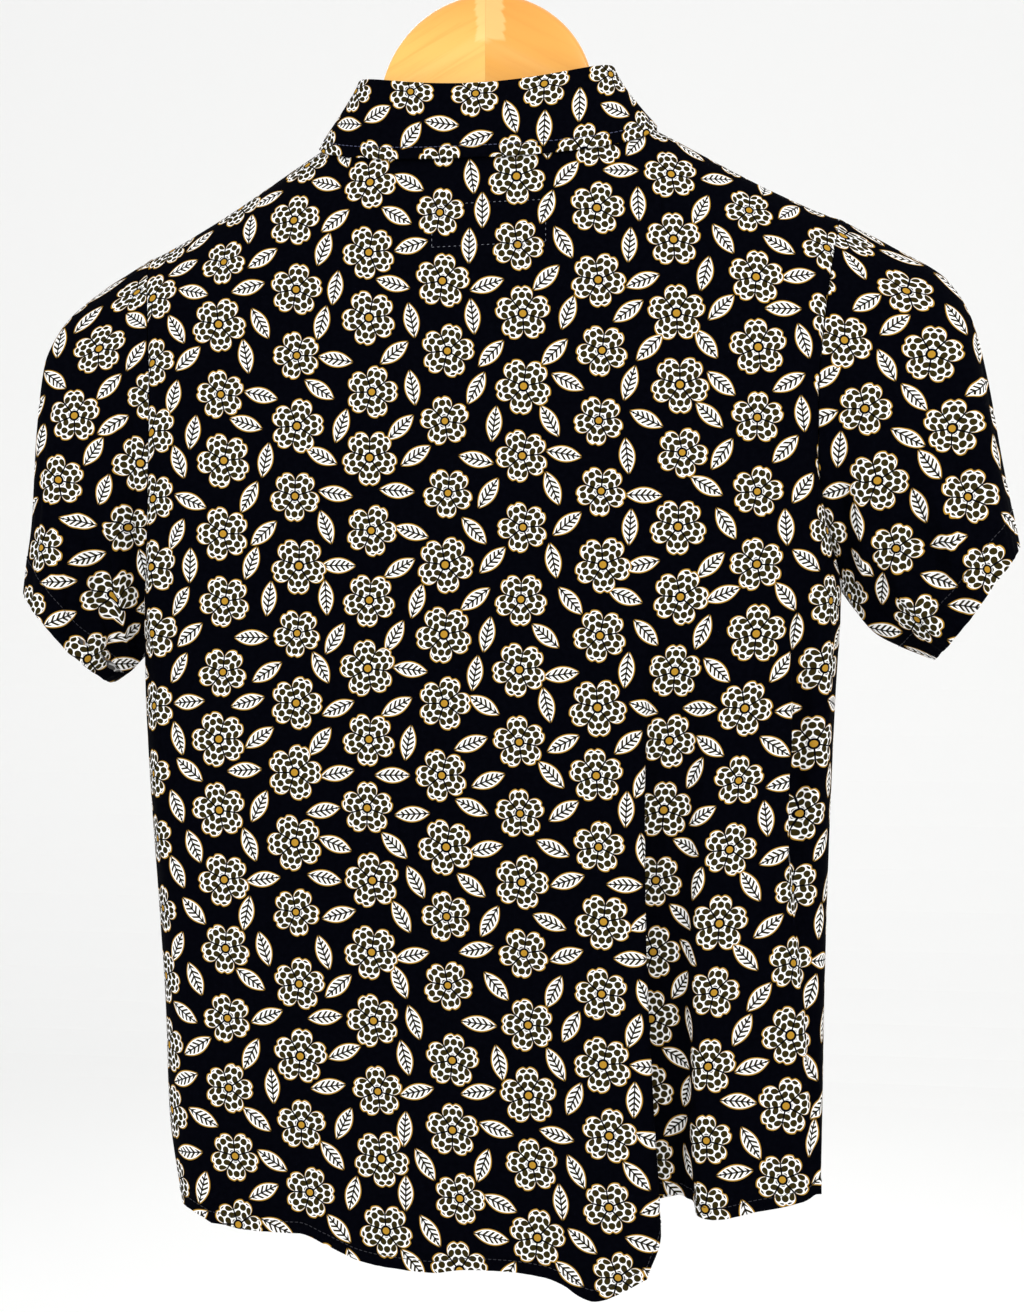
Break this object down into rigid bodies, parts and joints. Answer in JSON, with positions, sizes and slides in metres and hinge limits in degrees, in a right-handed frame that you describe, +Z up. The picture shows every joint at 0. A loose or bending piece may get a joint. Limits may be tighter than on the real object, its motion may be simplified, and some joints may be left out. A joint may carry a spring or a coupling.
{
  "type": "hawaiian shirt on a wooden hanger",
  "caption": "Short-sleeved printed button-front shirt with a turned-down collar, hanging on a contoured wooden hanger with a metal hook.",
  "frame": {"origin": "top of the inside of the hanger's hook, where a rail carries it", "axes": "+Z up, +Y out of the buttoned front of the shirt, +X towards the wearer's right sleeve"},
  "size_m": [0.6255, 0.1, 0.876],
  "materials": {
    "printed_cloth": "matt woven poplin, black ground printed with off-white, olive brown and ochre flowers and leaves",
    "button": "semi-gloss, dark brown",
    "wood": "satin lacquer",
    "steel": "bright plated"
  },
  "bodies": {
    "root": {"back": "printed_cloth", "front_left": "printed_cloth", "front_right": "printed_cloth", "sleeve_left": "printed_cloth", "sleeve_right": "printed_cloth", "collar_stand": "printed_cloth", "collar_fall": "printed_cloth", "button_1": "button", "button_2": "button", "button_3": "button", "button_4": "button", "button_5": "button", "button_6": "button", "hanger_left": "wood", "hanger_right": "wood", "hook": "steel"}
  },
  "joints": []
}
